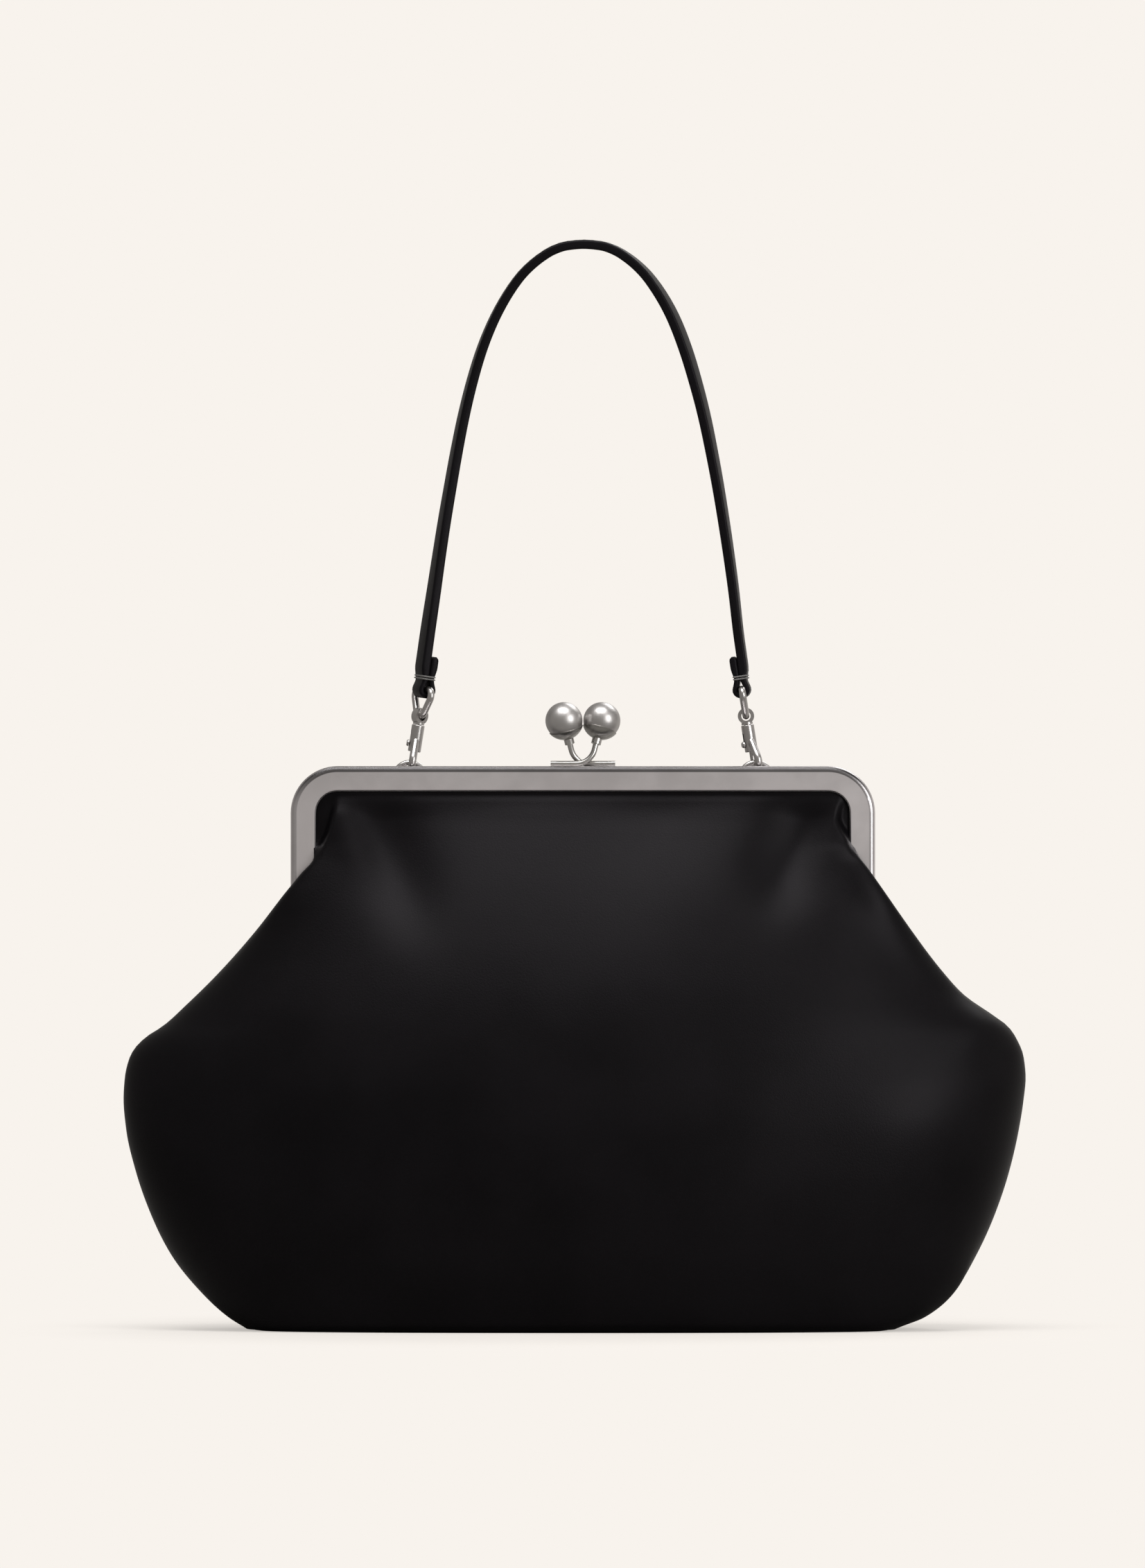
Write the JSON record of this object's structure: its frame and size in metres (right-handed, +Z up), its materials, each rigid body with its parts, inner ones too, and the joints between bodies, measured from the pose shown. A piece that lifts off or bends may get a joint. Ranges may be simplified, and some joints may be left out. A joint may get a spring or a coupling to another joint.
{
  "type": "kiss lock frame purse",
  "caption": "Soft leather purse on a hinged metal frame that a two-ball kiss lock closes, with a narrow strap clipped to rings at the back.",
  "frame": {"origin": "middle of the base, on the surface that the bag stands on", "axes": "+X to the right along the frame, +Y to the back, +Z up to the top of the strap"},
  "size_m": [0.3644, 0.119, 0.4405],
  "materials": {
    "leather": "satin",
    "strap_leather": "satin",
    "lining": "matte",
    "board": "matte",
    "frame_nickel": "satin",
    "clasp_nickel": "polished",
    "hardware_nickel": "satin",
    "spring_steel": "satin"
  },
  "bodies": {
    "pouch": {"front_panel": "leather", "back_panel": "leather", "base_panel": "leather", "base_board": "board", "front_lining": "lining", "back_lining": "lining", "base_lining": "lining", "hinge_rivet_left": "frame_nickel", "hinge_rivet_right": "frame_nickel"},
    "front_frame": {"front_frame": "frame_nickel", "front_panel_top": "leather", "front_lining_top": "lining", "front_clasp_stem": "clasp_nickel", "front_clasp_collar": "clasp_nickel", "front_ball_cup": "clasp_nickel", "front_ball": "clasp_nickel"},
    "back_frame": {"back_frame": "frame_nickel", "back_panel_top": "leather", "back_lining_top": "lining", "back_clasp_stem": "clasp_nickel", "back_clasp_collar": "clasp_nickel", "back_ball_cup": "clasp_nickel", "back_ball": "clasp_nickel", "d_ring_bracket_left": "frame_nickel", "d_ring_bracket_right": "frame_nickel"},
    "d_rings": {"d_ring_left": "hardware_nickel", "d_ring_right": "hardware_nickel"},
    "strap": {"strap": "strap_leather", "oval_ring_left": "hardware_nickel", "oval_ring_right": "hardware_nickel", "swivel_eye_left": "hardware_nickel", "swivel_eye_right": "hardware_nickel"},
    "hook_left": {"hook_body_left": "hardware_nickel", "bolt_spring_left": "spring_steel"},
    "bolt_left": {"hook_bolt_left": "hardware_nickel"},
    "hook_right": {"hook_body_right": "hardware_nickel", "bolt_spring_right": "spring_steel"},
    "bolt_right": {"hook_bolt_right": "hardware_nickel"}
  },
  "joints": [
    {"name": "back_open", "type": "hinge", "parent": "pouch", "child": "back_frame", "pos_m": [0, 0, 0.17], "axis": [-1, 0, 0], "range_deg": [0, 40]},
    {"name": "front_open", "type": "hinge", "parent": "pouch", "child": "front_frame", "pos_m": [0, 0, 0.17], "axis": [1, 0, 0], "range_deg": [0, 40]},
    {"name": "d_rings_swing", "type": "hinge", "parent": "back_frame", "child": "d_rings", "pos_m": [-0.07, 0.0103, 0.2206], "axis": [-1, 0, 0], "range_deg": [0, 35]},
    {"name": "strap_swing", "type": "hinge", "parent": "d_rings", "child": "strap", "pos_m": [0, 0.0103, 0.22892], "axis": [-1, 0, 0], "range_deg": [-75, 80]},
    {"name": "hook_left_swivel", "type": "hinge", "parent": "strap", "child": "hook_left", "pos_m": [-0.069, 0.0133, 0.22892], "axis": [0.1564, 0, 0.9877], "range_deg": [-20, 12]},
    {"name": "hook_right_swivel", "type": "hinge", "parent": "strap", "child": "hook_right", "pos_m": [0.069, 0.0133, 0.22892], "axis": [-0.1564, 0, 0.9877], "range_deg": [-30, 0]},
    {"name": "bolt_left_slide", "type": "slide", "parent": "hook_left", "child": "bolt_left", "axis": [0.1564, 0, 0.9877], "range_m": [0, 0.004], "stiffness_N_per_m": 150, "springref_m": -0.002, "deforming": ["bolt_spring_left"]},
    {"name": "bolt_right_slide", "type": "slide", "parent": "hook_right", "child": "bolt_right", "axis": [-0.1564, 0, 0.9877], "range_m": [0, 0.004], "stiffness_N_per_m": 150, "springref_m": -0.002, "deforming": ["bolt_spring_right"]}
  ],
  "couplings": [
    {"joint": "front_open", "follows": "back_open", "ratio": 1}
  ]
}
